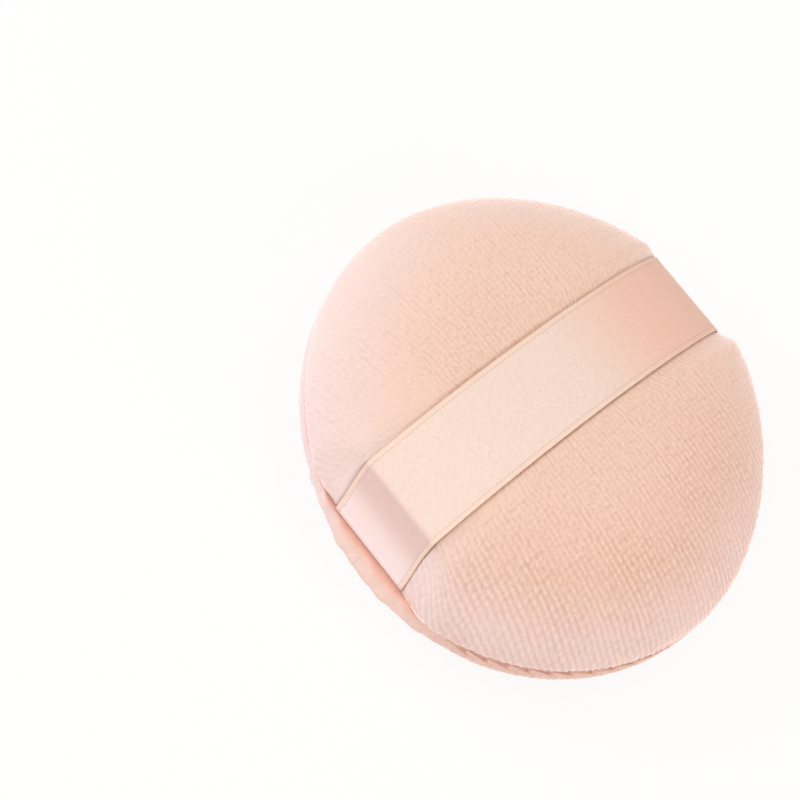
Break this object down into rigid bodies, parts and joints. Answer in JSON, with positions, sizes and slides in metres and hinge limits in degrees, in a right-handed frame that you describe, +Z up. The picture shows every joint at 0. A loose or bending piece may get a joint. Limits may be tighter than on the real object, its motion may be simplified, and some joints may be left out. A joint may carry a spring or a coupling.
{
  "type": "powder puff",
  "caption": "Round velour powder puff with a foam core, sewn round its rim, and a flat satin ribbon across the back that lifts for the fingers.",
  "frame": {"origin": "on the surface the puff lies on, under the middle of its outline", "axes": "+Z up through the puff from its face to its back, X along the ribbon, Y across it"},
  "size_m": [0.0762, 0.0802, 0.0212],
  "materials": {
    "face_velour": "matte",
    "back_velour": "matte",
    "foam": "matte",
    "satin": "satin",
    "machine_thread": "matte",
    "hand_thread": "matte"
  },
  "bodies": {
    "pad": {"face_cloth": "face_velour", "back_cloth": "back_velour", "foam_core": "foam", "rim_seam_thread": "machine_thread", "closing_thread": "hand_thread"},
    "strap": {"satin_ribbon": "satin"}
  },
  "joints": [
    {"name": "strap_lift", "type": "slide", "parent": "pad", "child": "strap", "axis": [0, 0, 1], "range_m": [0, 0.01], "deforming": ["satin_ribbon"]}
  ]
}
